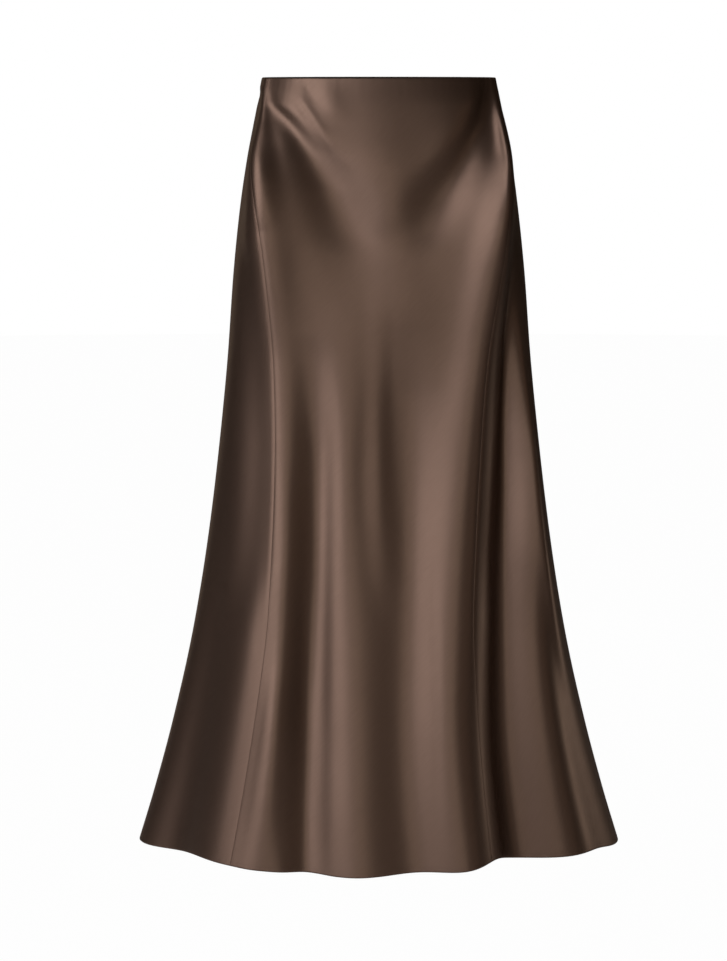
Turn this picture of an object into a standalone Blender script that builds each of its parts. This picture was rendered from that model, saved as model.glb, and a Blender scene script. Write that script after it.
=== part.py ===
"""Slip skirt: a bias-cut satin tube, worn, hanging open from its waist.

Metres, +Z up. The origin is the centre of the waist opening, at its top edge.
The front faces -Y, and +X is to the right of someone who looks at the front.

A place on the cloth is given by two numbers:
  around  degrees round the tube, 0 at centre front, + towards +X, 180 at centre back
  drop    metres straight down from the waist edge
"""
from collections import namedtuple

import bmesh
import bpy
import numpy as np

# Driving sizes
LENGTH = 0.836              # waist edge to hem, straight down
WALL = 0.0012               # a panel's thickness
GAP = 0.0003                # between pieces at a seam, and between layers
CASING_HEIGHT = 0.028       # the waist's turned-in casing
CASING_WALL = 0.0020        # its cloth with the elastic inside
HEM_HEIGHT = 0.006          # the narrow turned-up hem
HEM_WALL = 0.0012
MM = 0.001                  # the folds' rises and the hem's dips are in millimetres
DIP_GROWTH = 3              # how fast a dip of the hem grows down the skirt

# The mesh: cells across each panel, and rows of cells down it
FRONT_COLUMNS = 44
BACK_COLUMNS = 56
WAIST_ROWS = 10             # from the casing's edge down to the hip
HIP_DROP = 0.20
SKIRT_ROWS = 22             # from the hip down to the hem's turning
CASING_ROWS = 2

# The right and wrong side of the satin
SATIN = (0.098, 0.066, 0.050, 1.0)
SATIN_ROUGHNESS = 0.35
SATIN_INSIDE = (0.075, 0.049, 0.037, 1.0)
INSIDE_ROUGHNESS = 0.45
SHARP_EDGE = 50             # degrees between faces that shade as an edge

# The tube without its folds: a row for each level. The lens columns are 0 where the
# level is an ellipse; they grow where the flare draws the two sides out to rounded
# points, and are below 0 where the level is flat in front and full at its sides.
Section = namedtuple("Section", "drop half_width front_depth back_depth front_lens back_lens")
SECTIONS = (
    Section(0.000, 0.1248, 0.082, 0.088, -0.55, 0.00),
    Section(0.030, 0.1310, 0.086, 0.098, -0.90, -0.05),
    Section(0.090, 0.1425, 0.090, 0.116, -1.30, -0.30),
    Section(0.140, 0.1500, 0.091, 0.128, -1.50, -0.45),
    Section(0.210, 0.1574, 0.093, 0.133, -1.20, -0.50),
    Section(0.300, 0.1641, 0.095, 0.128, -0.75, -0.55),
    Section(0.400, 0.1743, 0.101, 0.124, -0.60, -0.50),
    Section(0.500, 0.1870, 0.112, 0.128, -0.45, -0.40),
    Section(0.600, 0.2037, 0.126, 0.136, -0.20, -0.20),
    Section(0.700, 0.2262, 0.142, 0.147, 0.08, 0.08),
    Section(0.780, 0.2478, 0.155, 0.157, 0.26, 0.26),
    Section(0.836, 0.2648, 0.164, 0.164, 0.36, 0.36),
)

# Where the two side seams run, in degrees left and right of centre front. The back
# panel is the wider one and comes forward round the sides.
Seam = namedtuple("Seam", "drop left right")
SEAMS = (
    Seam(0.000, 82.0, 82.0),
    Seam(0.045, 77.0, 77.0),
    Seam(0.080, 67.0, 70.0),
    Seam(0.130, 57.0, 62.0),
    Seam(0.190, 49.5, 54.0),
    Seam(0.300, 42.0, 42.5),
    Seam(0.400, 38.5, 37.0),
    Seam(0.500, 36.5, 32.5),
    Seam(0.600, 35.0, 29.0),
    Seam(0.836, 35.0, 27.0),
)

# The folds: each is a soft ridge (rise > 0) or trough (rise < 0) that runs down
# the cloth through its rows. rise is in millimetres, around and width in degrees.
Fold = namedtuple("Fold", "drop around rise width")
FOLDS = {
    # Drag lines that hang in a V from the two hips, and the belly between them
    "left_drag": (
        Fold(0.026, -60.0, 0.0, 5.0),
        Fold(0.045, -48.0, -5.0, 6.5),
        Fold(0.064, -37.5, -7.0, 7.0),
        Fold(0.080, -31.0, -8.0, 8.0),
        Fold(0.100, -25.0, -8.5, 8.5),
        Fold(0.125, -19.5, -8.0, 9.0),
        Fold(0.157, -13.5, -6.5, 10.0),
        Fold(0.188, -9.0, -3.5, 10.5),
        Fold(0.250, -4.0, 0.0, 11.0),
    ),
    "belly": (
        Fold(0.000, -2.0, 1.0, 15.0),
        Fold(0.050, 0.0, 4.0, 13.0),
        Fold(0.100, 2.5, 6.0, 11.0),
        Fold(0.140, 5.0, 6.0, 10.0),
        Fold(0.170, 6.0, 5.0, 9.5),
        Fold(0.210, 7.0, 3.5, 9.0),
        Fold(0.270, 8.0, 1.5, 9.0),
        Fold(0.330, 8.0, 0.0, 9.0),
    ),
    "right_drag": (
        Fold(0.000, 72.0, -1.0, 6.0),
        Fold(0.042, 59.0, -5.0, 7.5),
        Fold(0.063, 50.0, -7.0, 8.0),
        Fold(0.094, 38.0, -9.0, 9.0),
        Fold(0.120, 29.0, -8.5, 9.5),
        Fold(0.157, 19.5, -5.5, 9.5),
        Fold(0.188, 14.0, -2.0, 10.0),
        Fold(0.260, 10.0, 0.0, 10.0),
    ),
    # Front folds of the flare, left to right
    "left_side_trough": (
        Fold(0.350, -72.0, 0.0, 8.0),
        Fold(0.569, -66.0, -5.0, 8.0),
        Fold(0.700, -63.0, -8.0, 8.0),
        Fold(0.836, -60.0, -12.0, 8.0),
    ),
    "left_ridge": (
        Fold(0.040, -72.0, 0.0, 6.0),
        Fold(0.060, -68.0, 3.0, 7.0),
        Fold(0.085, -63.5, 8.0, 8.5),
        Fold(0.120, -58.0, 11.0, 9.0),
        Fold(0.164, -53.5, 11.5, 9.0),
        Fold(0.200, -48.5, 10.5, 8.0),
        Fold(0.250, -44.0, 9.0, 7.5),
        Fold(0.300, -40.0, 8.0, 7.0),
        Fold(0.350, -37.5, 8.0, 6.8),
        Fold(0.400, -35.5, 8.5, 6.6),
        Fold(0.500, -34.5, 9.5, 7.0),
        Fold(0.600, -38.0, 11.5, 8.0),
        Fold(0.770, -38.0, 14.0, 9.0),
        Fold(0.836, -37.5, 15.0, 9.0),
    ),
    "left_crest": (
        Fold(0.400, -34.0, 0.0, 3.5),
        Fold(0.500, -30.5, 3.0, 3.5),
        Fold(0.640, -28.5, 8.0, 3.3),
        Fold(0.706, -27.0, 10.0, 3.3),
        Fold(0.772, -26.0, 10.5, 3.3),
        Fold(0.836, -24.5, 10.5, 3.3),
    ),
    "left_trough": (
        Fold(0.270, -27.0, 0.0, 5.5),
        Fold(0.340, -24.0, -4.0, 5.5),
        Fold(0.400, -22.0, -8.0, 5.5),
        Fold(0.500, -20.5, -10.5, 5.5),
        Fold(0.640, -18.5, -13.0, 5.4),
        Fold(0.706, -17.0, -13.5, 5.4),
        Fold(0.772, -16.0, -14.0, 5.4),
        Fold(0.836, -14.5, -14.5, 5.4),
    ),
    "middle_ridge": (
        Fold(0.220, -16.0, 0.0, 6.0),
        Fold(0.400, -13.5, 3.0, 5.0),
        Fold(0.569, -12.0, 3.0, 4.8),
        Fold(0.700, -11.0, 3.5, 4.6),
        Fold(0.836, -9.0, 4.0, 4.6),
    ),
    "middle_trough": (
        Fold(0.240, 10.0, 0.0, 7.0),
        Fold(0.300, 9.5, -3.0, 7.0),
        Fold(0.345, 10.0, -6.0, 7.0),
        Fold(0.392, 10.0, -7.5, 6.8),
        Fold(0.569, 9.3, -9.0, 6.0),
        Fold(0.725, 8.5, -11.0, 5.8),
        Fold(0.836, 9.5, -13.0, 5.8),
    ),
    "right_ridge": (
        Fold(0.035, 84.0, 0.0, 6.0),
        Fold(0.063, 77.0, 2.0, 7.5),
        Fold(0.094, 66.0, 6.0, 8.5),
        Fold(0.121, 60.5, 9.0, 8.5),
        Fold(0.157, 55.5, 11.5, 8.5),
        Fold(0.200, 50.0, 13.0, 8.5),
        Fold(0.300, 40.0, 13.0, 8.0),
        Fold(0.400, 33.0, 11.0, 7.5),
        Fold(0.569, 25.0, 10.0, 7.5),
        Fold(0.700, 21.0, 10.5, 7.0),
        Fold(0.836, 21.5, 12.0, 6.5),
    ),
    "right_trough": (
        Fold(0.120, 74.0, 0.0, 6.0),
        Fold(0.228, 64.0, -8.0, 5.5),
        Fold(0.338, 56.5, -13.0, 5.5),
        Fold(0.447, 51.0, -16.0, 6.0),
        Fold(0.558, 45.5, -21.0, 6.5),
        Fold(0.725, 39.0, -27.0, 6.5),
        Fold(0.836, 37.0, -30.0, 6.5),
    ),
    "right_side_ridge": (
        Fold(0.400, 64.0, 0.0, 7.0),
        Fold(0.558, 56.0, 6.0, 7.0),
        Fold(0.669, 53.0, 9.0, 7.5),
        Fold(0.836, 51.0, 13.0, 8.0),
    ),
    # Back folds, from the right side round to the left
    "back_right_trough": (
        Fold(0.360, 118.0, 0.0, 7.0),
        Fold(0.569, 121.0, -8.0, 7.0),
        Fold(0.836, 124.0, -14.0, 7.0),
    ),
    "back_right_ridge": (
        Fold(0.330, 138.0, 0.0, 7.0),
        Fold(0.569, 140.0, 6.0, 7.0),
        Fold(0.836, 142.0, 10.0, 7.0),
    ),
    "back_middle_trough": (
        Fold(0.290, 158.0, 0.0, 7.0),
        Fold(0.450, 160.0, -6.0, 7.0),
        Fold(0.836, 162.0, -16.0, 7.0),
    ),
    "back_middle_ridge": (
        Fold(0.380, 178.0, 0.0, 7.0),
        Fold(0.600, 179.0, 5.0, 7.0),
        Fold(0.836, 181.0, 9.0, 7.0),
    ),
    "back_left_trough": (
        Fold(0.300, 200.0, 0.0, 7.0),
        Fold(0.500, 200.0, -7.0, 7.0),
        Fold(0.836, 201.0, -13.0, 7.0),
    ),
    "back_left_ridge": (
        Fold(0.340, 222.0, 0.0, 7.0),
        Fold(0.569, 221.0, 6.0, 7.0),
        Fold(0.836, 219.0, 11.0, 7.0),
    ),
    "back_side_trough": (
        Fold(0.400, 240.0, 0.0, 7.0),
        Fold(0.600, 240.0, -6.0, 7.0),
        Fold(0.836, 240.0, -11.0, 7.0),
    ),
    # Drag lines under the waist at the back
    "back_right_drag": (
        Fold(0.000, 124.0, -1.0, 5.0),
        Fold(0.060, 132.0, -3.5, 7.0),
        Fold(0.150, 152.0, 0.0, 9.0),
    ),
    "back_left_drag": (
        Fold(0.000, 238.0, -1.5, 5.0),
        Fold(0.070, 229.0, -4.0, 7.0),
        Fold(0.170, 208.0, 0.0, 9.0),
    ),
}

# Where the cloth is thrown straight forward at the two hips, in the folds' columns
HIP_FOLDS = {
    "left_hip": (
        Fold(0.000, -79.0, 13.0, 6.5),
        Fold(0.030, -75.0, 13.0, 6.0),
        Fold(0.055, -71.0, 13.0, 6.0),
        Fold(0.075, -67.5, 12.0, 6.0),
        Fold(0.095, -63.5, 10.0, 6.5),
        Fold(0.120, -59.5, 6.0, 7.0),
        Fold(0.160, -55.0, 0.0, 7.0),
    ),
    "right_flank": (
        Fold(0.180, 80.0, 0.0, 9.0),
        Fold(0.300, 78.0, 13.0, 9.0),
        Fold(0.400, 77.0, 24.0, 10.0),
        Fold(0.500, 76.0, 27.0, 11.0),
        Fold(0.600, 76.0, 22.0, 10.0),
        Fold(0.700, 76.0, 14.0, 11.0),
        Fold(0.836, 76.0, 8.0, 12.0),
    ),
    "right_hip": (
        Fold(0.000, 80.0, 14.0, 7.5),
        Fold(0.025, 79.5, 18.0, 7.5),
        Fold(0.050, 78.0, 23.0, 7.5),
        Fold(0.075, 75.5, 25.0, 7.5),
        Fold(0.105, 70.5, 23.0, 8.0),
        Fold(0.140, 63.0, 15.0, 8.0),
        Fold(0.180, 57.0, 7.0, 8.0),
        Fold(0.220, 53.0, 2.0, 7.5),
        Fold(0.270, 50.0, 0.0, 7.5),
    ),
}

# Where the bias lets the hem hang lower (dip > 0, in millimetres) or higher
Dip = namedtuple("Dip", "around dip width")
HEM_DIPS = (
    Dip(-46.0, -5.5, 8.0),
    Dip(-31.0, -1.0, 7.0),
    Dip(-15.0, 2.5, 8.0),
    Dip(-3.0, 4.0, 9.0),
    Dip(28.5, -7.5, 4.5),
    Dip(58.0, -5.5, 10.0),
    Dip(142.0, -2.0, 10.0),
    Dip(178.0, 3.0, 12.0),
    Dip(219.0, -3.0, 10.0),
)


def smooth(rows, column, at):
    """The value of a table's column at the drops in at, on a curve without overshoot."""
    drops = np.array([row.drop for row in rows])
    values = np.array([getattr(row, column) for row in rows])
    steps = np.diff(drops)
    slopes = np.diff(values) / steps
    product = slopes[:-1] * slopes[1:]
    total = slopes[:-1] + slopes[1:]
    inner = np.where(product > 0, 2 * product / np.where(total == 0, 1, total), 0)
    tangents = np.concatenate(([slopes[0]], inner, [slopes[-1]]))
    at = np.clip(at, drops[0], drops[-1])
    i = np.clip(np.searchsorted(drops, at) - 1, 0, len(steps) - 1)
    t = (at - drops[i]) / steps[i]
    ease = t * t * (3 - 2 * t)
    return (values[i] * (1 - ease) + values[i + 1] * ease
            + steps[i] * t * (1 - t) * (tangents[i] * (1 - t) - tangents[i + 1] * t))


def bump(around, centre, width):
    """A soft swell round the tube, 1 at its centre."""
    turn = (around - centre + 180) % 360 - 180
    return np.exp(-0.5 * (turn / width) ** 2)


def relief(folds, around, drop):
    """How far a group of folds lifts the cloth off the plain tube, in metres."""
    lift = 0.0
    for rows in folds.values():
        centre = smooth(rows, "around", drop)
        width = smooth(rows, "width", drop)
        lift = lift + smooth(rows, "rise", drop) * bump(around, centre, width)
    return lift * MM


def surface(around, drop):
    """Points of the cloth's outer face."""
    turn = np.radians(around)
    across, out = np.sin(turn), np.cos(turn)
    half_width = smooth(SECTIONS, "half_width", drop)
    depth, lens = (np.where(out > 0, smooth(SECTIONS, "front_" + column, drop),
                            smooth(SECTIONS, "back_" + column, drop))
                   for column in ("depth", "lens"))
    x = half_width * across
    y = -depth * out * (1 - lens + lens * np.abs(out)) - relief(HIP_FOLDS, around, drop)
    # the level's own outward direction, which the other folds move along
    along_x = half_width * out
    along_y = depth * across * (1 - lens + 2 * lens * np.abs(out))
    size = np.hypot(along_x, along_y)
    lift = relief(FOLDS, around, drop)
    dip = sum(d.dip * MM * bump(around, d.around, d.width) for d in HEM_DIPS)
    z = -drop - dip * (drop / LENGTH) ** DIP_GROWTH
    return np.stack((x + lift * along_y / size, y - lift * along_x / size, z), axis=-1)


def directions(around, drop):
    """Unit vectors round the tube and out of the cloth."""
    turn_step, drop_step = 0.05, 0.0002
    round_it = surface(around + turn_step, drop) - surface(around - turn_step, drop)
    down = surface(around, drop + drop_step) - surface(around, drop - drop_step)
    round_it /= np.linalg.norm(round_it, axis=-1, keepdims=True)
    outward = np.cross(down, round_it)
    outward /= np.linalg.norm(outward, axis=-1, keepdims=True)
    return round_it, outward


def panel_drops():
    """The drop of each row of points: closer rows at the waist, one at each edge of a band."""
    casing = np.linspace(0, CASING_HEIGHT, CASING_ROWS + 1)
    waist = np.linspace(CASING_HEIGHT, HIP_DROP, WAIST_ROWS + 1)
    skirt = np.linspace(HIP_DROP, LENGTH - HEM_HEIGHT, SKIRT_ROWS + 1)
    return np.concatenate((casing, waist[1:], skirt[1:], [LENGTH]))


def panel_layer(side, drops, depth_in):
    """A layer of a panel, depth_in behind its outer face: an array of rows of points."""
    columns = FRONT_COLUMNS if side == "front" else BACK_COLUMNS
    left, right = (smooth(SEAMS, side_seam, drops)[:, None] for side_seam in ("left", "right"))
    start, end = (-left, right) if side == "front" else (right, 360 - left)
    share = np.linspace(0, 1, columns + 1)[None, :]
    around = start + (end - start) * share
    drop = np.broadcast_to(drops[:, None], around.shape)
    round_it, outward = directions(around, drop)
    inset = (0.5 - share)[..., None] * GAP
    return surface(around, drop) + round_it * inset - outward * depth_in


def material(name, colour, roughness):
    """A plain cloth finish."""
    finish = bpy.data.materials.new(name)
    finish.use_nodes = True
    shader = finish.node_tree.nodes["Principled BSDF"]
    shader.inputs["Base Color"].default_value = colour
    shader.inputs["Roughness"].default_value = roughness
    shader.inputs["Metallic"].default_value = 0.0
    finish.diffuse_color = colour
    return finish


def cloth(name, outer, inner, finish):
    """A closed piece of cloth between two layers of points with equal rows and columns."""
    rows, columns = outer.shape[0] - 1, outer.shape[1] - 1
    layers = (outer, inner)
    mesh = bmesh.new()
    # A flat slab, one unit to a cell, which is then laid on the two layers
    bmesh.ops.create_grid(mesh, x_segments=columns, y_segments=rows, size=0.5)
    for vert in mesh.verts:
        vert.co.x = round((vert.co.x + 0.5) * columns)
        vert.co.y = round((vert.co.y + 0.5) * rows)
    grown = bmesh.ops.extrude_face_region(mesh, geom=mesh.faces[:], use_keep_orig=True)
    for item in grown["geom"]:
        if isinstance(item, bmesh.types.BMVert):
            item.co.z = 1
    bmesh.ops.recalc_face_normals(mesh, faces=mesh.faces[:])
    for vert in mesh.verts:
        column, row, layer = (round(value) for value in vert.co)
        vert.co = layers[layer][row, column]
    data = bpy.data.meshes.new(name)
    mesh.to_mesh(data)
    mesh.free()
    data.materials.append(finish)
    data.shade_smooth()
    data.set_sharp_from_angle(angle=np.radians(SHARP_EDGE))
    piece = bpy.data.objects.new(name, data)
    bpy.context.collection.objects.link(piece)
    return piece


def panel(side):
    """The front or back panel, from the waist edge to the hem."""
    finish = material(side + "_panel_satin", SATIN, SATIN_ROUGHNESS)
    drops = panel_drops()
    outer = panel_layer(side, drops, 0.0)
    inner = panel_layer(side, drops, WALL)
    return cloth(side + "_panel", outer, inner, finish)


def inner_band(side, name, drops, thickness):
    """A band turned to the inside of a panel, a layer's gap behind it."""
    finish = material(side + "_" + name + "_satin", SATIN_INSIDE, INSIDE_ROUGHNESS)
    outer = panel_layer(side, drops, WALL + GAP)
    inner = panel_layer(side, drops, WALL + GAP + thickness)
    return cloth(side + "_" + name, outer, inner, finish)


def waist_casing(side):
    """The top of a panel turned in round the waist elastic."""
    return inner_band(side, "waist_casing", panel_drops()[:CASING_ROWS + 1], CASING_WALL)


def hem(side):
    """The bottom of a panel turned up."""
    return inner_band(side, "hem", panel_drops()[-2:], HEM_WALL)


def main():
    for item in list(bpy.data.objects):
        bpy.data.objects.remove(item)
    for side in ("front", "back"):
        panel(side)
        waist_casing(side)
        hem(side)


main()
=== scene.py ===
"""Slip skirt: the satin, seams, casing, hem and stitches over the packed solids.

Metres, +Z up. The origin is the centre of the waist opening, at its top edge.
The front faces -Y, and +X is to the right of someone who looks at the front.

A place on the cloth is given by two numbers:
  around  degrees round the tube, 0 at centre front, + towards +X, 180 at centre back
  drop    metres straight down from the waist edge
"""
import math
from collections import namedtuple

import bmesh
import bpy
import numpy as np
from mathutils import Matrix, Vector


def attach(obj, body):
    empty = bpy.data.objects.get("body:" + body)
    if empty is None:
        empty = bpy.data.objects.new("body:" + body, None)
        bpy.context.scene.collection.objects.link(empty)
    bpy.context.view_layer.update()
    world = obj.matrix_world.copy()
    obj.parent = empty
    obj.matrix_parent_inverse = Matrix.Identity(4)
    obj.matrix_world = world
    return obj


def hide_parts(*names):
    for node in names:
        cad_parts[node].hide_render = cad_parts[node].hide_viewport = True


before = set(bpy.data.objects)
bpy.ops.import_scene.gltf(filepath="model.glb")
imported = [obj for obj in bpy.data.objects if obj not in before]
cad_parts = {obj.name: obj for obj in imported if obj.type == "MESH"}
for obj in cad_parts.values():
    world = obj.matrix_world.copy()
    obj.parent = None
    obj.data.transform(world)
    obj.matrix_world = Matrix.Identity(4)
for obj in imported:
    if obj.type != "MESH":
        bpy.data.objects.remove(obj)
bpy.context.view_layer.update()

bl_info = {
    "name": "Slip skirt",
    "version": (1, 0, 0),
    "blender": (4, 5, 0),
    "location": "View3D > Sidebar > Slip skirt",
    "description": "A bias-cut satin slip skirt in the shape it is worn in",
    "category": "Object",
}

LENGTH = 0.836              # waist edge to hem, straight down

# The tube without its folds: a row for each level. The lens columns are 0 where the
# level is an ellipse; they grow where the flare draws the two sides out to rounded
# points, and are below 0 where the level is flat in front and full at its sides.
Section = namedtuple("Section", "drop half_width front_depth back_depth front_lens back_lens")
SECTIONS = (
    Section(0.000, 0.1248, 0.082, 0.088, -0.55, 0.00),
    Section(0.030, 0.1310, 0.086, 0.098, -0.90, -0.05),
    Section(0.090, 0.1425, 0.090, 0.116, -1.30, -0.30),
    Section(0.140, 0.1500, 0.091, 0.128, -1.50, -0.45),
    Section(0.210, 0.1574, 0.093, 0.133, -1.20, -0.50),
    Section(0.300, 0.1641, 0.095, 0.128, -0.75, -0.55),
    Section(0.400, 0.1743, 0.101, 0.124, -0.60, -0.50),
    Section(0.500, 0.1870, 0.112, 0.128, -0.45, -0.40),
    Section(0.600, 0.2037, 0.126, 0.136, -0.20, -0.20),
    Section(0.700, 0.2262, 0.142, 0.147, 0.08, 0.08),
    Section(0.780, 0.2478, 0.155, 0.157, 0.26, 0.26),
    Section(0.836, 0.2648, 0.164, 0.164, 0.36, 0.36),
)

# Where the two side seams run, in degrees left and right of centre front. The back
# panel is the wider one and comes forward round the sides.
Seam = namedtuple("Seam", "drop left right")
SEAMS = (
    Seam(0.000, 82.0, 82.0),
    Seam(0.045, 77.0, 77.0),
    Seam(0.080, 67.0, 70.0),
    Seam(0.130, 57.0, 62.0),
    Seam(0.190, 49.5, 54.0),
    Seam(0.300, 42.0, 42.5),
    Seam(0.400, 38.5, 37.0),
    Seam(0.500, 36.5, 32.5),
    Seam(0.600, 35.0, 29.0),
    Seam(0.836, 35.0, 27.0),
)

# The folds: each is a soft ridge (rise > 0) or trough (rise < 0) that runs down
# the cloth through its rows. rise is in millimetres, around and width in degrees.
Fold = namedtuple("Fold", "drop around rise width")
FOLDS = {
    # Drag lines that hang in a V from the two hips, and the belly between them
    "left_drag": (
        Fold(0.026, -60.0, 0.0, 5.0),
        Fold(0.045, -48.0, -5.0, 6.5),
        Fold(0.064, -37.5, -7.0, 7.0),
        Fold(0.080, -31.0, -8.0, 8.0),
        Fold(0.100, -25.0, -8.5, 8.5),
        Fold(0.125, -19.5, -8.0, 9.0),
        Fold(0.157, -13.5, -6.5, 10.0),
        Fold(0.188, -9.0, -3.5, 10.5),
        Fold(0.250, -4.0, 0.0, 11.0),
    ),
    "belly": (
        Fold(0.000, -2.0, 1.0, 15.0),
        Fold(0.050, 0.0, 4.0, 13.0),
        Fold(0.100, 2.5, 6.0, 11.0),
        Fold(0.140, 5.0, 6.0, 10.0),
        Fold(0.170, 6.0, 5.0, 9.5),
        Fold(0.210, 7.0, 3.5, 9.0),
        Fold(0.270, 8.0, 1.5, 9.0),
        Fold(0.330, 8.0, 0.0, 9.0),
    ),
    "right_drag": (
        Fold(0.000, 72.0, -1.0, 6.0),
        Fold(0.042, 59.0, -5.0, 7.5),
        Fold(0.063, 50.0, -7.0, 8.0),
        Fold(0.094, 38.0, -9.0, 9.0),
        Fold(0.120, 29.0, -8.5, 9.5),
        Fold(0.157, 19.5, -5.5, 9.5),
        Fold(0.188, 14.0, -2.0, 10.0),
        Fold(0.260, 10.0, 0.0, 10.0),
    ),
    # Front folds of the flare, left to right
    "left_side_trough": (
        Fold(0.350, -72.0, 0.0, 8.0),
        Fold(0.569, -66.0, -5.0, 8.0),
        Fold(0.700, -63.0, -8.0, 8.0),
        Fold(0.836, -60.0, -12.0, 8.0),
    ),
    "left_ridge": (
        Fold(0.040, -72.0, 0.0, 6.0),
        Fold(0.060, -68.0, 3.0, 7.0),
        Fold(0.085, -63.5, 8.0, 8.5),
        Fold(0.120, -58.0, 11.0, 9.0),
        Fold(0.164, -53.5, 11.5, 9.0),
        Fold(0.200, -48.5, 10.5, 8.0),
        Fold(0.250, -44.0, 9.0, 7.5),
        Fold(0.300, -40.0, 8.0, 7.0),
        Fold(0.350, -37.5, 8.0, 6.8),
        Fold(0.400, -35.5, 8.5, 6.6),
        Fold(0.500, -34.5, 9.5, 7.0),
        Fold(0.600, -38.0, 11.5, 8.0),
        Fold(0.770, -38.0, 14.0, 9.0),
        Fold(0.836, -37.5, 15.0, 9.0),
    ),
    "left_crest": (
        Fold(0.400, -34.0, 0.0, 3.5),
        Fold(0.500, -30.5, 3.0, 3.5),
        Fold(0.640, -28.5, 8.0, 3.3),
        Fold(0.706, -27.0, 10.0, 3.3),
        Fold(0.772, -26.0, 10.5, 3.3),
        Fold(0.836, -24.5, 10.5, 3.3),
    ),
    "left_trough": (
        Fold(0.270, -27.0, 0.0, 5.5),
        Fold(0.340, -24.0, -4.0, 5.5),
        Fold(0.400, -22.0, -8.0, 5.5),
        Fold(0.500, -20.5, -10.5, 5.5),
        Fold(0.640, -18.5, -13.0, 5.4),
        Fold(0.706, -17.0, -13.5, 5.4),
        Fold(0.772, -16.0, -14.0, 5.4),
        Fold(0.836, -14.5, -14.5, 5.4),
    ),
    "middle_ridge": (
        Fold(0.220, -16.0, 0.0, 6.0),
        Fold(0.400, -13.5, 3.0, 5.0),
        Fold(0.569, -12.0, 3.0, 4.8),
        Fold(0.700, -11.0, 3.5, 4.6),
        Fold(0.836, -9.0, 4.0, 4.6),
    ),
    "middle_trough": (
        Fold(0.240, 10.0, 0.0, 7.0),
        Fold(0.300, 9.5, -3.0, 7.0),
        Fold(0.345, 10.0, -6.0, 7.0),
        Fold(0.392, 10.0, -7.5, 6.8),
        Fold(0.569, 9.3, -9.0, 6.0),
        Fold(0.725, 8.5, -11.0, 5.8),
        Fold(0.836, 9.5, -13.0, 5.8),
    ),
    "right_ridge": (
        Fold(0.035, 84.0, 0.0, 6.0),
        Fold(0.063, 77.0, 2.0, 7.5),
        Fold(0.094, 66.0, 6.0, 8.5),
        Fold(0.121, 60.5, 9.0, 8.5),
        Fold(0.157, 55.5, 11.5, 8.5),
        Fold(0.200, 50.0, 13.0, 8.5),
        Fold(0.300, 40.0, 13.0, 8.0),
        Fold(0.400, 33.0, 11.0, 7.5),
        Fold(0.569, 25.0, 10.0, 7.5),
        Fold(0.700, 21.0, 10.5, 7.0),
        Fold(0.836, 21.5, 12.0, 6.5),
    ),
    "right_trough": (
        Fold(0.120, 74.0, 0.0, 6.0),
        Fold(0.228, 64.0, -8.0, 5.5),
        Fold(0.338, 56.5, -13.0, 5.5),
        Fold(0.447, 51.0, -16.0, 6.0),
        Fold(0.558, 45.5, -21.0, 6.5),
        Fold(0.725, 39.0, -27.0, 6.5),
        Fold(0.836, 37.0, -30.0, 6.5),
    ),
    "right_side_ridge": (
        Fold(0.400, 64.0, 0.0, 7.0),
        Fold(0.558, 56.0, 6.0, 7.0),
        Fold(0.669, 53.0, 9.0, 7.5),
        Fold(0.836, 51.0, 13.0, 8.0),
    ),
    # Back folds, from the right side round to the left
    "back_right_trough": (
        Fold(0.360, 118.0, 0.0, 7.0),
        Fold(0.569, 121.0, -8.0, 7.0),
        Fold(0.836, 124.0, -14.0, 7.0),
    ),
    "back_right_ridge": (
        Fold(0.330, 138.0, 0.0, 7.0),
        Fold(0.569, 140.0, 6.0, 7.0),
        Fold(0.836, 142.0, 10.0, 7.0),
    ),
    "back_middle_trough": (
        Fold(0.290, 158.0, 0.0, 7.0),
        Fold(0.450, 160.0, -6.0, 7.0),
        Fold(0.836, 162.0, -16.0, 7.0),
    ),
    "back_middle_ridge": (
        Fold(0.380, 178.0, 0.0, 7.0),
        Fold(0.600, 179.0, 5.0, 7.0),
        Fold(0.836, 181.0, 9.0, 7.0),
    ),
    "back_left_trough": (
        Fold(0.300, 200.0, 0.0, 7.0),
        Fold(0.500, 200.0, -7.0, 7.0),
        Fold(0.836, 201.0, -13.0, 7.0),
    ),
    "back_left_ridge": (
        Fold(0.340, 222.0, 0.0, 7.0),
        Fold(0.569, 221.0, 6.0, 7.0),
        Fold(0.836, 219.0, 11.0, 7.0),
    ),
    "back_side_trough": (
        Fold(0.400, 240.0, 0.0, 7.0),
        Fold(0.600, 240.0, -6.0, 7.0),
        Fold(0.836, 240.0, -11.0, 7.0),
    ),
    # Drag lines under the waist at the back
    "back_right_drag": (
        Fold(0.000, 124.0, -1.0, 5.0),
        Fold(0.060, 132.0, -3.5, 7.0),
        Fold(0.150, 152.0, 0.0, 9.0),
    ),
    "back_left_drag": (
        Fold(0.000, 238.0, -1.5, 5.0),
        Fold(0.070, 229.0, -4.0, 7.0),
        Fold(0.170, 208.0, 0.0, 9.0),
    ),
}

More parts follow.
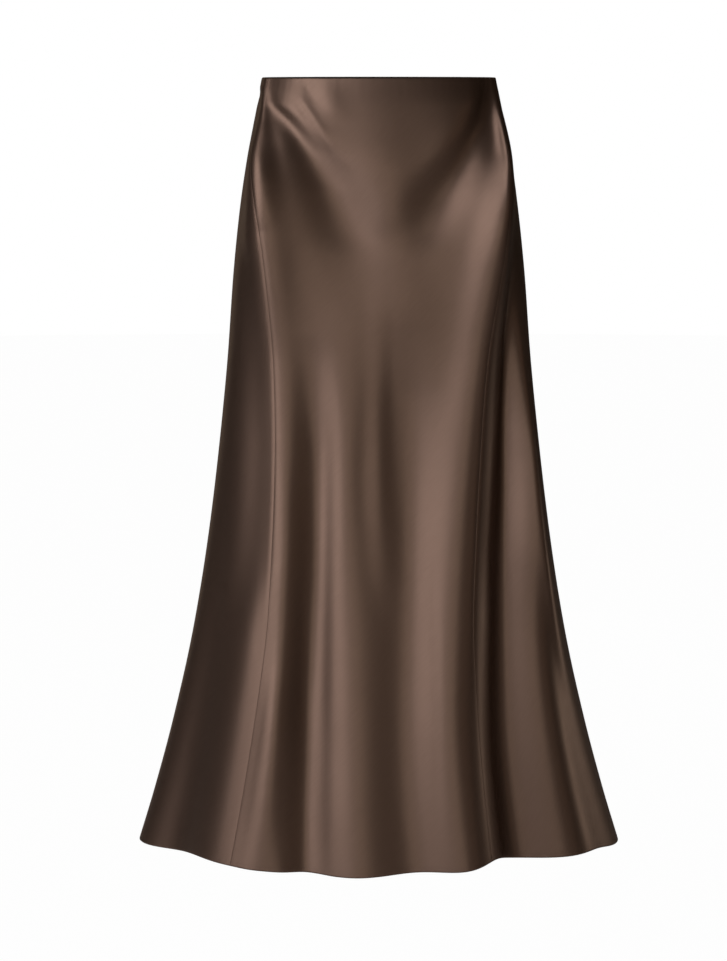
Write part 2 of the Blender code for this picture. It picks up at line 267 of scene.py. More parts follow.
# Where the cloth is thrown straight forward at the two hips, in the folds' columns
HIP_FOLDS = {
    "left_hip": (
        Fold(0.000, -79.0, 13.0, 6.5),
        Fold(0.030, -75.0, 13.0, 6.0),
        Fold(0.055, -71.0, 13.0, 6.0),
        Fold(0.075, -67.5, 12.0, 6.0),
        Fold(0.095, -63.5, 10.0, 6.5),
        Fold(0.120, -59.5, 6.0, 7.0),
        Fold(0.160, -55.0, 0.0, 7.0),
    ),
    "right_flank": (
        Fold(0.180, 80.0, 0.0, 9.0),
        Fold(0.300, 78.0, 13.0, 9.0),
        Fold(0.400, 77.0, 24.0, 10.0),
        Fold(0.500, 76.0, 27.0, 11.0),
        Fold(0.600, 76.0, 22.0, 10.0),
        Fold(0.700, 76.0, 14.0, 11.0),
        Fold(0.836, 76.0, 8.0, 12.0),
    ),
    "right_hip": (
        Fold(0.000, 80.0, 14.0, 7.5),
        Fold(0.025, 79.5, 18.0, 7.5),
        Fold(0.050, 78.0, 23.0, 7.5),
        Fold(0.075, 75.5, 25.0, 7.5),
        Fold(0.105, 70.5, 23.0, 8.0),
        Fold(0.140, 63.0, 15.0, 8.0),
        Fold(0.180, 57.0, 7.0, 8.0),
        Fold(0.220, 53.0, 2.0, 7.5),
        Fold(0.270, 50.0, 0.0, 7.5),
    ),
}

# Where the bias lets the hem hang lower (dip > 0, in millimetres) or higher
Dip = namedtuple("Dip", "around dip width")
HEM_DIPS = (
    Dip(-46.0, -5.5, 8.0),
    Dip(-31.0, -1.0, 7.0),
    Dip(-15.0, 2.5, 8.0),
    Dip(-3.0, 4.0, 9.0),
    Dip(28.5, -7.5, 4.5),
    Dip(58.0, -5.5, 10.0),
    Dip(142.0, -2.0, 10.0),
    Dip(178.0, 3.0, 12.0),
    Dip(219.0, -3.0, 10.0),
)

# Small creases that show only in the cloth itself, in the folds' own columns
CREASES = {
    # The crisp foot of each hip, where a drag line starts
    "left_hip_foot": (
        Fold(0.030, -54.0, 0.0, 5.5),
        Fold(0.055, -44.0, -1.6, 5.5),
        Fold(0.068, -39.0, -1.8, 5.5),
        Fold(0.085, -33.5, -1.2, 6.0),
        Fold(0.120, -24.0, 0.0, 7.0),
    ),
    "right_hip_foot": (
        Fold(0.020, 58.0, 0.0, 6.0),
        Fold(0.045, 48.0, -2.0, 6.5),
        Fold(0.070, 41.0, -2.8, 7.0),
        Fold(0.090, 35.0, -2.2, 7.0),
        Fold(0.110, 28.0, -1.2, 7.0),
        Fold(0.140, 22.0, 0.0, 7.0),
    ),
    # Where the waist's corner is gathered, on the left
    "left_corner_gather": (
        Fold(0.000, -88.0, 0.6, 4.0),
        Fold(0.010, -81.0, 1.2, 4.0),
        Fold(0.017, -76.0, 0.0, 4.0),
    ),
    "left_corner_pocket": (
        Fold(0.012, -90.0, 0.0, 4.0),
        Fold(0.019, -88.0, -0.8, 4.0),
        Fold(0.026, -82.5, -1.0, 4.5),
        Fold(0.036, -71.0, 0.0, 4.5),
    ),
    "left_waist_pocket": (
        Fold(0.012, -65.0, 0.0, 4.0),
        Fold(0.020, -62.0, -0.6, 4.0),
        Fold(0.032, -58.0, -0.8, 4.5),
        Fold(0.050, -51.0, 0.0, 5.0),
    ),
    # The short crease that runs down from the waist edge
    "short_crease": (
        Fold(0.000, -38.5, -0.6, 2.8),
        Fold(0.010, -36.5, -1.2, 2.8),
        Fold(0.020, -33.0, -1.2, 3.0),
        Fold(0.030, -29.5, -0.6, 3.2),
        Fold(0.040, -26.0, 0.0, 3.4),
    ),
    "short_crease_bank": (
        Fold(0.000, -27.0, 0.6, 4.5),
        Fold(0.014, -25.0, 1.0, 4.5),
        Fold(0.030, -22.0, 0.8, 4.5),
        Fold(0.050, -18.0, 0.0, 4.5),
    ),
    # The long crease beside it, towards the V
    "long_crease": (
        Fold(0.016, -46.0, 0.0, 1.8),
        Fold(0.026, -41.5, -0.5, 1.8),
        Fold(0.036, -37.0, -0.7, 1.8),
        Fold(0.048, -32.5, -0.6, 1.9),
        Fold(0.063, -28.0, -0.5, 2.0),
        Fold(0.078, -23.0, -0.3, 2.2),
        Fold(0.098, -16.5, 0.0, 2.4),
    ),
    "long_crease_bank": (
        Fold(0.016, -42.5, 0.0, 1.8),
        Fold(0.026, -38.0, 0.5, 1.8),
        Fold(0.036, -33.5, 0.7, 1.8),
        Fold(0.048, -29.0, 0.6, 1.9),
        Fold(0.063, -24.5, 0.4, 2.0),
        Fold(0.078, -19.5, 0.3, 2.2),
        Fold(0.098, -13.0, 0.0, 2.4),
    ),
    # The gather at the right of the waist
    "right_gather": (
        Fold(0.000, 64.0, -0.5, 2.2),
        Fold(0.014, 60.5, -1.0, 2.4),
        Fold(0.036, 56.0, -0.8, 2.8),
        Fold(0.049, 51.5, -0.5, 3.0),
        Fold(0.066, 43.0, 0.0, 3.0),
    ),
    "right_gather_bank": (
        Fold(0.000, 51.0, 0.5, 3.5),
        Fold(0.014, 49.5, 0.7, 3.5),
        Fold(0.036, 46.0, 0.0, 3.5),
    ),
    # Soft lines down the middle, under the V
    "middle_left_line": (
        Fold(0.200, -5.0, 0.0, 2.6),
        Fold(0.300, -4.8, -0.35, 2.4),
        Fold(0.380, -4.6, -0.5, 2.2),
        Fold(0.440, -4.4, -0.2, 2.2),
        Fold(0.480, -4.2, 0.0, 2.4),
    ),
    "middle_line": (
        Fold(0.200, -0.6, 0.0, 2.6),
        Fold(0.300, -0.4, 0.35, 2.4),
        Fold(0.380, -0.2, 0.45, 2.2),
        Fold(0.440, 0.2, 0.4, 2.2),
        Fold(0.560, 0.6, 0.0, 2.4),
    ),
    "middle_right_line": (
        Fold(0.220, 5.0, 0.0, 2.2),
        Fold(0.300, 4.8, -0.3, 2.0),
        Fold(0.380, 4.6, -0.4, 2.0),
        Fold(0.480, 4.6, 0.0, 2.0),
    ),
    # The sharp right bank of the middle ridge
    "middle_bank_top": (
        Fold(0.360, -16.5, 0.0, 2.6),
        Fold(0.460, -15.3, 1.2, 2.6),
        Fold(0.600, -14.4, 1.8, 2.5),
        Fold(0.836, -11.6, 2.0, 2.3),
    ),
    "middle_bank_foot": (
        Fold(0.340, -7.0, 0.0, 3.0),
        Fold(0.440, -5.5, -1.4, 3.0),
        Fold(0.500, -3.5, -1.5, 3.5),
        Fold(0.600, 1.0, -1.6, 4.6),
        Fold(0.836, 2.5, -2.0, 5.0),
    ),
    # The left crest leans to the left where it meets the hem
    "left_crest_bank": (
        Fold(0.620, -31.0, 0.0, 2.6),
        Fold(0.720, -31.0, 2.4, 2.6),
        Fold(0.836, -30.5, 3.2, 2.6),
    ),
    "left_crest_foot": (
        Fold(0.620, -24.5, 0.0, 2.8),
        Fold(0.720, -24.6, -3.2, 2.6),
        Fold(0.836, -24.6, -5.0, 2.6),
    ),
    # The sharp foot of the left crest's dark bank
    "left_trough_line": (
        Fold(0.520, -24.5, 0.0, 2.0),
        Fold(0.620, -22.8, -1.8, 2.0),
        Fold(0.706, -21.0, -3.2, 2.0),
        Fold(0.772, -20.0, -3.8, 2.0),
        Fold(0.836, -18.8, -3.8, 2.0),
    ),
    # A faint line down the right ridge
    "flare_line": (
        Fold(0.500, 17.8, 0.0, 1.0),
        Fold(0.560, 17.3, -0.3, 1.0),
        Fold(0.675, 16.0, -0.3, 1.0),
        Fold(0.738, 15.0, -0.3, 1.0),
        Fold(0.820, 14.0, 0.0, 1.0),
    ),
    # The same sort of creases at the sides and the back
    "right_side_pucker": (
        Fold(0.000, 97.0, -0.8, 3.0),
        Fold(0.020, 94.0, -1.0, 3.5),
        Fold(0.055, 90.0, 0.0, 4.5),
    ),
    "back_right_crease": (
        Fold(0.000, 133.0, -0.9, 2.4),
        Fold(0.018, 138.0, -1.2, 2.8),
        Fold(0.055, 149.0, 0.0, 3.4),
    ),
    "back_middle_crease": (
        Fold(0.000, 171.0, -0.6, 2.2),
        Fold(0.030, 169.0, -0.6, 2.8),
        Fold(0.060, 167.0, 0.0, 3.2),
    ),
    "back_left_crease": (
        Fold(0.000, 216.0, -1.0, 2.6),
        Fold(0.022, 210.0, -1.2, 3.0),
        Fold(0.070, 198.0, 0.0, 3.6),
    ),
    "left_side_pucker": (
        Fold(0.000, 254.0, -0.8, 2.8),
        Fold(0.024, 249.0, -1.0, 3.4),
        Fold(0.060, 242.0, 0.0, 4.2),
    ),
    "back_flare_line": (
        Fold(0.420, 171.0, 0.0, 1.4),
        Fold(0.560, 170.0, -0.4, 1.4),
        Fold(0.760, 168.5, 0.0, 1.4),
    ),
    "back_side_line": (
        Fold(0.380, 211.0, 0.0, 1.4),
        Fold(0.520, 211.5, -0.4, 1.4),
        Fold(0.700, 212.5, 0.0, 1.4),
    ),
}

# The same where the cloth is thrown straight forward
HIP_CREASES = {
    # The waist's left corner, flatter in front
    "left_waist_corner": (
        Fold(0.000, -72.0, 3.5, 8.0),
        Fold(0.014, -71.0, 3.5, 8.0),
        Fold(0.030, -69.0, 1.5, 7.0),
        Fold(0.045, -67.0, 0.0, 6.5),
    ),
    # The crisp banks of the two hips
    "left_hip_rim": (
        Fold(0.020, -74.0, 0.0, 6.5),
        Fold(0.045, -68.0, 3.5, 6.5),
        Fold(0.065, -64.5, 4.5, 6.5),
        Fold(0.085, -61.0, 3.5, 6.5),
        Fold(0.115, -57.0, 0.0, 6.5),
    ),
    "left_hip_line": (
        Fold(0.015, -72.0, 0.0, 3.4),
        Fold(0.040, -66.0, 1.4, 3.6),
        Fold(0.070, -58.0, 2.0, 4.0),
        Fold(0.100, -54.5, 1.9, 4.2),
        Fold(0.140, -52.0, 1.0, 4.2),
        Fold(0.180, -50.0, 0.0, 4.0),
    ),
    "right_hip_bank": (
        Fold(0.010, 86.0, 0.0, 6.5),
        Fold(0.040, 80.0, 6.0, 6.5),
        Fold(0.065, 75.0, 7.0, 6.5),
        Fold(0.085, 70.0, 6.5, 6.5),
        Fold(0.110, 64.0, 3.0, 6.5),
        Fold(0.140, 59.0, 0.0, 6.5),
    ),
    # The right flank, which turns to the front near its edge
    "right_flank_bank": (
        Fold(0.250, 84.0, 0.0, 7.0),
        Fold(0.320, 82.0, 4.0, 7.0),
        Fold(0.400, 79.0, 6.5, 7.0),
        Fold(0.500, 76.0, 6.5, 7.0),
        Fold(0.580, 74.0, 3.0, 7.0),
        Fold(0.660, 72.0, 0.0, 7.0),
    ),
}
ALL_FOLDS = {**FOLDS, **CREASES}
ALL_HIP_FOLDS = {**HIP_FOLDS, **HIP_CREASES}

MM = 0.001                  # the folds' rises and the hem's dips are in millimetres
DIP_GROWTH = 3              # how fast a dip of the hem grows down the skirt

# Panel sizes, once flat: width across the hem, length along the centre with the
# turnings of the casing and the hem, and the area of the cut
Cut = namedtuple("Cut", "width length area")
CUTS = {
    "front": Cut(0.305, 0.895, 0.221),
    "back": Cut(1.105, 0.895, 0.685),
}
# Where their cells are set out, panels and casings are this part of the hem's width
PANEL_WIDTH, CASING_WIDTH = 0.9, 0.6
# Radius of the waist and of the hem in their flat patterns
WAIST_RADIUS, HEM_RADIUS = 0.105, 0.21

# Where the small cells at an edge end, from the edge
SEAM_CELLS = (0.0004, 0.0010, 0.0018, 0.0030, 0.0046, 0.0068)
PANEL_END_CELLS = (0.0003, 0.0007, 0.0012, 0.0022, 0.0040, 0.0060)
CASING_END_CELLS = (0.0003, 0.0008, 0.0016)
HEM_END_CELLS = (0.0003, 0.0008)
ALLOWANCE_CELLS = (0.0004, 0.0010)
# Cells across and down the turned-in pieces
CASING_COLUMNS, CASING_ROWS = {"front": 160, "back": 260}, 20
HEM_COLUMNS, HEM_ROWS = {"front": 220, "back": 500}, 8
ALLOWANCE_COLUMNS, ALLOWANCE_ROWS = 9, 170

# How far each piece stops short of a seam
PANEL_INSET, TURNING_INSET = 0.00003, 0.0002
# How far the turned-in pieces stop short of the panel's ends
CASING_TOP, HEM_FOOT, ALLOWANCE_TOP, ALLOWANCE_FOOT = 0.0009, 0.0004, 0.031, 0.009
# Rounded edges: how far the face falls back, over what reach
Round = namedtuple("Round", "fall reach")
PANEL_ROUND = Round(0.0007, 0.0014)
CASING_ROUND = Round(0.0007, 0.0012)
TURNING_ROUND = Round(0.0004, 0.0009)

# How wide a seam's ditch and the swell beside it are, and where the swell is
DITCH_WIDTH, SWELL_WIDTH, SWELL_AT = 0.0011, 0.0026, 0.0042
# The flare's weight pulls a seam smooth: by what share, from which drop, over what length
SEAM_SMOOTHED, SMOOTH_FROM, SMOOTH_OVER = 0.65, 0.46, 0.16
# Gathers under the waist edge: height, where they fade, their share at the front, and the
# width of the gathered back in degrees
GATHER, GATHER_FADE, GATHER_FRONT, GATHER_WIDTH = 0.00035, 0.022, 0.25, 75
# The casing's puckers: how they lean, in degrees a metre, and how far from its ends they start
PUCKER_LEAN, PUCKER_FROM_END = 90, 0.004
# Ripples of the turned-in pieces: height, and radians a metre along an allowance
RIPPLE, RIPPLE_TURNS, RIPPLE_DRIFT = 0.0002, 310, 57
# Unevenness round the tube: its seed, and the counts of the waves in it
Waves = namedtuple("Waves", "seed counts")
GATHER_WAVES = Waves(7, (61, 83, 97, 118, 139))
PUCKER_WAVES = Waves(3, (47, 71, 89, 113, 131))
HEM_WAVES = Waves(11, (67, 93, 127, 171))

# The hem's stitches: how far below the turning's top they run, how far behind the outer
# face each row lies, and the places that a row is measured at
STITCH_BELOW = 0.0012
STITCH_ROWS = {"_hem_stitches": 0.00002, "_hem_stitches_inside": 0.00236}
STITCH_PLACES = 1500

COOL = (1.0, 1.0, 1.03)
MILD = (1.0, 0.97, 0.88)
WARM = (1.0, 0.78, 0.58)
# The backdrop's light on the satin, and how far the camera sees the floor as plain white
WORLD_LIGHT, FLOOR_WHITE = 0.035, 0.985
# Lights: azimuth from the front towards +X and elevation, in degrees, the distance,
# the two sides in metres, the power in watts, the height each one is aimed at, its
# beam in degrees and its colour
Light = namedtuple("Light", "name azimuth elevation distance width height power aim spread colour")
LIGHTS = (
    Light("key", -42, 18, 2.4, 2.1, 2.8, 41, -0.15, 180, COOL),
    Light("front", 2, 0, 4.0, 2.0, 1.4, 11.5, -0.2, 180, MILD),
    Light("fill", 46, 10, 4.0, 2.0, 2.0, 3, -0.4, 180, WARM),
    Light("low_right", 103, 4, 1.7, 0.3, 0.3, 0.07, -0.78, 42, MILD),
    Light("right_rim", 176, 8, 2.6, 0.5, 2.2, 3, -0.4, 180, WARM),
    Light("left_rim", -150, 5, 2.6, 0.6, 2.4, 1.2, -0.4, 180, WARM),
)


METRES = {"subtype": "DISTANCE", "unit": "LENGTH"}
COLOUR = {"subtype": "COLOR", "size": 3}


class ClothSizes(bpy.types.PropertyGroup):
    """Sizes of the satin panels."""

    thickness: bpy.props.FloatProperty(
        name="Thickness", description="Thickness of the satin as modelled",
        default=0.0009, **METRES)
    front_columns: bpy.props.IntProperty(
        name="Front columns", description="Cells across the front panel", default=140)
    back_columns: bpy.props.IntProperty(
        name="Back columns", description="Cells across the back panel", default=220)
    front_rows: bpy.props.IntProperty(
        name="Front rows", description="Cells down the front panel", default=280)
    back_rows: bpy.props.IntProperty(
        name="Back rows", description="Cells down the back panel", default=190)
    seam_ditch: bpy.props.FloatProperty(
        name="Seam ditch", description="How deep the cloth dips into a side seam",
        default=0.00015, **METRES)
    seam_swell: bpy.props.FloatProperty(
        name="Seam swell", description="How far the allowances lift the cloth beside a seam",
        default=0.0002, **METRES)


class EdgeSizes(bpy.types.PropertyGroup):
    """Sizes of the casing, the hem and the seam allowances."""

    casing_height: bpy.props.FloatProperty(
        name="Casing height", description="Height of the turned-in waist casing",
        default=0.0275, **METRES)
    casing_wall: bpy.props.FloatProperty(
        name="Casing wall", description="Thickness of the casing with its elastic",
        default=0.0018, **METRES)
    pucker: bpy.props.FloatProperty(
        name="Pucker", description="Depth of the small gathers that the elastic makes",
        default=0.0005, **METRES)
    behind: bpy.props.FloatProperty(
        name="Behind", description="How far the turned-in pieces lie behind the outer face",
        default=0.00125, **METRES)
    turning_wall: bpy.props.FloatProperty(
        name="Turning wall", description="Thickness of the hem's and the seams' turnings",
        default=0.0010, **METRES)
    hem_height: bpy.props.FloatProperty(
        name="Hem height", description="Height of the turned-up hem",
        default=0.006, **METRES)
    allowance: bpy.props.FloatProperty(
        name="Allowance", description="Width of the enclosed seam allowance inside",
        default=0.007, **METRES)


class StitchSizes(bpy.types.PropertyGroup):
    """Sizes of the hem's stitches."""

    length: bpy.props.FloatProperty(
        name="Length", description="Length of one stitch",
        default=0.0024, **METRES)
    pitch: bpy.props.FloatProperty(
        name="Pitch", description="Distance from a stitch to the next",
        default=0.0030, **METRES)
    thread: bpy.props.FloatProperty(
        name="Thread", description="Thickness of the thread",
        default=0.00034, **METRES)


class SkirtColours(bpy.types.PropertyGroup):
    """Colours of the satin and its thread."""

    satin: bpy.props.FloatVectorProperty(
        name="Satin", description="Right side of the satin",
        default=(0.172, 0.110, 0.083), **COLOUR)
    satin_inside: bpy.props.FloatVectorProperty(
        name="Wrong side", description="Wrong side of the satin",
        default=(0.075, 0.049, 0.037), **COLOUR)
    thread: bpy.props.FloatVectorProperty(
        name="Thread", description="Sewing thread",
        default=(0.085, 0.056, 0.042), **COLOUR)
    floor: bpy.props.FloatVectorProperty(
        name="Floor", description="The plain pale floor",
        default=(0.86, 0.86, 0.86), **COLOUR)


class StageSizes(bpy.types.PropertyGroup):
    """Camera, lights and floor."""

    floor_drop: bpy.props.FloatProperty(
        name="Floor drop", description="How far the floor is below the waist edge",
        default=1.04, **METRES)
    floor_radius: bpy.props.FloatProperty(
        name="Floor radius", description="Radius of the floor",
        default=9.0, **METRES)
    camera_distance: bpy.props.FloatProperty(
        name="Camera distance", description="From the waist opening's centre to the camera",
        default=3.6, **METRES)
    camera_height: bpy.props.FloatProperty(
        name="Camera height", description="How far the camera is above the waist edge",
        default=0.03, **METRES)
    camera_side: bpy.props.FloatProperty(
        name="Camera side", description="How far the camera stands to the right of centre front",
        default=-0.0167, **METRES)
    camera_pitch: bpy.props.FloatProperty(
        name="Camera pitch", description="How far the camera looks down",
        default=math.radians(7.39), subtype="ANGLE", unit="ROTATION")
    lens: bpy.props.FloatProperty(
        name="Lens", description="Focal length in millimetres", default=124.6, unit="CAMERA")
    light: bpy.props.FloatProperty(
        name="Light", description="Scales the power of every light", default=1.0)


def smooth(rows, column, at):
    """The value of a table's column at the drops in at, on a curve without overshoot."""
    drops = np.array([row.drop for row in rows])
    values = np.array([getattr(row, column) for row in rows])
    steps = np.diff(drops)
    slopes = np.diff(values) / steps
    product = slopes[:-1] * slopes[1:]
    total = slopes[:-1] + slopes[1:]
    inner = np.where(product > 0, 2 * product / np.where(total == 0, 1, total), 0)
    tangents = np.concatenate(([slopes[0]], inner, [slopes[-1]]))
    at = np.clip(at, drops[0], drops[-1])
    i = np.clip(np.searchsorted(drops, at) - 1, 0, len(steps) - 1)
    t = (at - drops[i]) / steps[i]
    ease = t * t * (3 - 2 * t)
    return (values[i] * (1 - ease) + values[i + 1] * ease
            + steps[i] * t * (1 - t) * (tangents[i] * (1 - t) - tangents[i + 1] * t))


def bump(around, centre, width):
    """A soft swell round the tube, 1 at its centre."""
    turn = (around - centre + 180) % 360 - 180
    return np.exp(-0.5 * (turn / width) ** 2)


def relief(folds, around, drop):
    """How far a group of folds lifts the cloth off the plain tube, in metres."""
    lift = 0.0
    for rows in folds.values():
        centre = smooth(rows, "around", drop)
        width = smooth(rows, "width", drop)
        lift = lift + smooth(rows, "rise", drop) * bump(around, centre, width)
    return lift * MM


def surface(around, drop):
    """Points of the cloth's outer face."""
    turn = np.radians(around)
    across, out = np.sin(turn), np.cos(turn)
    half_width = smooth(SECTIONS, "half_width", drop)
    depth, lens = (np.where(out > 0, smooth(SECTIONS, "front_" + column, drop),
                            smooth(SECTIONS, "back_" + column, drop))
                   for column in ("depth", "lens"))
    x = half_width * across
    y = -depth * out * (1 - lens + lens * np.abs(out))
    y = y - relief(ALL_HIP_FOLDS, around, drop)
    # the level's own outward direction, which the other folds move along
    along_x = half_width * out
    along_y = depth * across * (1 - lens + 2 * lens * np.abs(out))
    size = np.hypot(along_x, along_y)
    lift = relief(ALL_FOLDS, around, drop)
    dip = sum(d.dip * MM * bump(around, d.around, d.width) for d in HEM_DIPS)
    z = -drop - dip * (drop / LENGTH) ** DIP_GROWTH
    return np.stack((x + lift * along_y / size, y - lift * along_x / size, z), axis=-1)


def directions(around, drop):
    """Unit vectors round the tube and out of the cloth."""
    turn_step, drop_step = 0.05, 0.0002
    round_it = surface(around + turn_step, drop) - surface(around - turn_step, drop)
    down = surface(around, drop + drop_step) - surface(around, drop - drop_step)
    round_it /= np.linalg.norm(round_it, axis=-1, keepdims=True)
    outward = np.cross(down, round_it)
    outward /= np.linalg.norm(outward, axis=-1, keepdims=True)
    return round_it, outward


def spans(side, drops):
    """The degrees where a panel starts and ends at each drop."""
    left, right = (smooth(SEAMS, seam, drops)[:, None] for seam in ("left", "right"))
    return (-left, right) if side == "front" else (right, 360 - left)


def close_to_edges(cells, length, edge=SEAM_CELLS):
    """Shares from 0 to 1 in so many cells, with small cells at both ends of a length."""
    small = np.array(edge) / length
    middle = np.linspace(small[-1], 1 - small[-1], cells - 2 * len(edge) + 1)
    return np.concatenate(([0], small[:-1], middle, 1 - small[:-1][::-1], [1]))


def lay(side, drops, shares, inset=0.0):
    """Rows of places on a panel, inset from its seams: around, points and outward."""
    start, end = spans(side, drops)
    around = start + (end - start) * shares[None, :]
    drop = np.broadcast_to(drops[:, None], around.shape)
    round_it, outward = directions(around, drop)
    points = surface(around, drop) + round_it * ((0.5 - shares)[None, :, None] * 2 * inset)
    return around, points, outward


def edge_distances(points):
    """How far each point of a panel is from its nearer seam and its middle, in metres."""
    width = np.linalg.norm(np.diff(points, axis=1), axis=-1)
    across = np.concatenate((np.zeros((len(points), 1)), np.cumsum(width, axis=1)), axis=1)
    return np.minimum(across, across[:, -1:] - across), across - across[:, -1:] / 2


def rounded(from_end, edge):
    """How far a face falls back near an end, on a quarter of a circle."""
    return edge.fall * (1 - np.sqrt(1 - np.clip(1 - from_end / edge.reach, 0, 1) ** 2))


def wobble(around, waves):
    """An even mix of waves round the tube, between about -1 and 1, that never repeats neatly."""
    spread = np.random.default_rng(waves.seed)
    total = 0.0
    for count in waves.counts:
        total = total + spread.uniform(0.5, 1.0) * np.sin(
            np.radians(around) * count + spread.uniform(0, 2 * np.pi))
    return total / len(waves.counts)


def add_object(name, data):
    """A new object in the scene."""
    piece = bpy.data.objects.new(name, data)
    bpy.context.collection.objects.link(piece)
    return piece


def cloth(name, outer, inner, flat, finish):
    """A closed piece of cloth between two layers of points, with its flat pattern as UVs."""
    rows, columns = outer.shape[0] - 1, outer.shape[1] - 1
    layers = np.stack((outer, inner))
    mesh = bmesh.new()
    # A flat slab, one unit to a cell, which is then laid on the two layers
    bmesh.ops.create_grid(mesh, x_segments=columns, y_segments=rows, size=0.5)
    for vert in mesh.verts:
        vert.co.x = round((vert.co.x + 0.5) * columns)
        vert.co.y = round((vert.co.y + 0.5) * rows)
    grown = bmesh.ops.extrude_face_region(mesh, geom=mesh.faces[:], use_keep_orig=True)
    for item in grown["geom"]:
        if isinstance(item, bmesh.types.BMVert):
            item.co.z = 1
    bmesh.ops.recalc_face_normals(mesh, faces=mesh.faces[:])
    data = bpy.data.meshes.new(name)
    mesh.to_mesh(data)
    mesh.free()
    places = np.empty(len(data.vertices) * 3)
    data.vertices.foreach_get("co", places)
    column, row, side = np.rint(places.reshape(-1, 3)).astype(int).T
    data.vertices.foreach_set("co", layers[side, row, column].ravel())
    corners = np.empty(len(data.loops), dtype=int)
    data.loops.foreach_get("vertex_index", corners)
    pattern = data.uv_layers.new(name="Pattern")
    pattern.data.foreach_set("uv", flat[row, column][corners].ravel())
    data.materials.append(finish)
    data.shade_smooth()
    data.update()
    piece = add_object(name, data)
    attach(piece, "root")
    return piece


def panel_rows(rows):
    """The drop of each row of points of a panel, closer at the waist and at both edges."""
    even, crowded = 0.62, 0.38  # how far the rows are even, and closer at the waist
    share = close_to_edges(rows, LENGTH, PANEL_END_CELLS)
    return LENGTH * share * (even + crowded * share * share * (3 - 2 * share))


def make_panel(side):
    """One satin panel, rolled over the casing at its top and round the hem at its bottom."""
    sizes = bpy.context.scene.skirt_cloth
    columns = sizes.front_columns if side == "front" else sizes.back_columns
    drops = panel_rows(sizes.front_rows if side == "front" else sizes.back_rows)
    shares = close_to_edges(columns, CUTS[side].width * PANEL_WIDTH)
    around, points, outward = lay(side, drops, shares, PANEL_INSET)
    from_seam, across = edge_distances(points)
    drop = drops[:, None]
    rolled = rounded(np.minimum(drop, LENGTH - drop), PANEL_ROUND)
    shown = 1 - SEAM_SMOOTHED * np.clip((drop - SMOOTH_FROM) / SMOOTH_OVER, 0, 1)
    ditch = shown * sizes.seam_ditch * np.exp(-(from_seam / DITCH_WIDTH) ** 2)
    swell = shown * sizes.seam_swell * np.exp(-((from_seam - SWELL_AT) / SWELL_WIDTH) ** 2)
    gather = (GATHER * wobble(around, GATHER_WAVES) * np.exp(-(drop / GATHER_FADE) ** 2)
              * (GATHER_FRONT + (1 - GATHER_FRONT) * bump(around, 180, GATHER_WIDTH)))
    depth_in = (rolled + ditch - swell - gather)[..., None]
    outer = points - outward * depth_in
    inner = points - outward * (depth_in + sizes.thickness)
    flat = np.stack(np.broadcast_arrays(across, -drop), axis=-1)
    piece = cloth(side + "_panel_satin", outer, inner, flat, bpy.data.materials["mocha_satin"])
    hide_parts(side + "_panel")
    return piece


def turned_in(name, points, outward, near, depth, across, down):
    """A piece of the satin's wrong side, so deep, that starts so far behind the outer face."""
    outer = points - outward * near
    inner = points - outward * (near + depth)[..., None]
    flat = np.stack(np.broadcast_arrays(across, down), axis=-1)
    return cloth(name, outer, inner, flat, bpy.data.materials["satin_wrong_side"])


def make_casing(side):
    """The top of a panel turned in round the elastic, puckered by it."""
    sizes = bpy.context.scene.skirt_edges
    drops = CASING_TOP + sizes.casing_height * close_to_edges(
        CASING_ROWS, sizes.casing_height, CASING_END_CELLS)
    shares = close_to_edges(CASING_COLUMNS[side], CUTS[side].width * CASING_WIDTH)
    around, points, outward = lay(side, drops, shares, TURNING_INSET)
    drop = drops[:, None]
    from_end = np.minimum(drop - drops[0], drops[-1] - drop)
    pucker = (sizes.pucker * wobble(around + PUCKER_LEAN * drop, PUCKER_WAVES)
              * np.clip(from_end / PUCKER_FROM_END, 0, 1))
    depth = sizes.casing_wall + pucker - rounded(from_end, CASING_ROUND)
    piece = turned_in(side + "_waist_casing_satin", points, outward, sizes.behind, depth,
                      np.radians(around) * WAIST_RADIUS, drop)
    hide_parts(side + "_waist_casing")
    return piece


def make_hem(side):
    """The bottom of a panel turned up and stitched."""
    sizes = bpy.context.scene.skirt_edges
    drops = LENGTH - HEM_FOOT - sizes.hem_height * close_to_edges(
        HEM_ROWS, sizes.hem_height, HEM_END_CELLS)[::-1]
    shares = close_to_edges(HEM_COLUMNS[side], CUTS[side].width)
    around, points, outward = lay(side, drops, shares, TURNING_INSET)
    drop = drops[:, None]
    from_end = np.minimum(drop - drops[0], drops[-1] - drop)
    depth = (sizes.turning_wall + RIPPLE * wobble(around, HEM_WAVES)
             - rounded(from_end, TURNING_ROUND))
    piece = turned_in(side + "_hem_satin", points, outward, sizes.behind, depth,
                      np.radians(around) * HEM_RADIUS, drop)
    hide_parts(side + "_hem")
    return piece


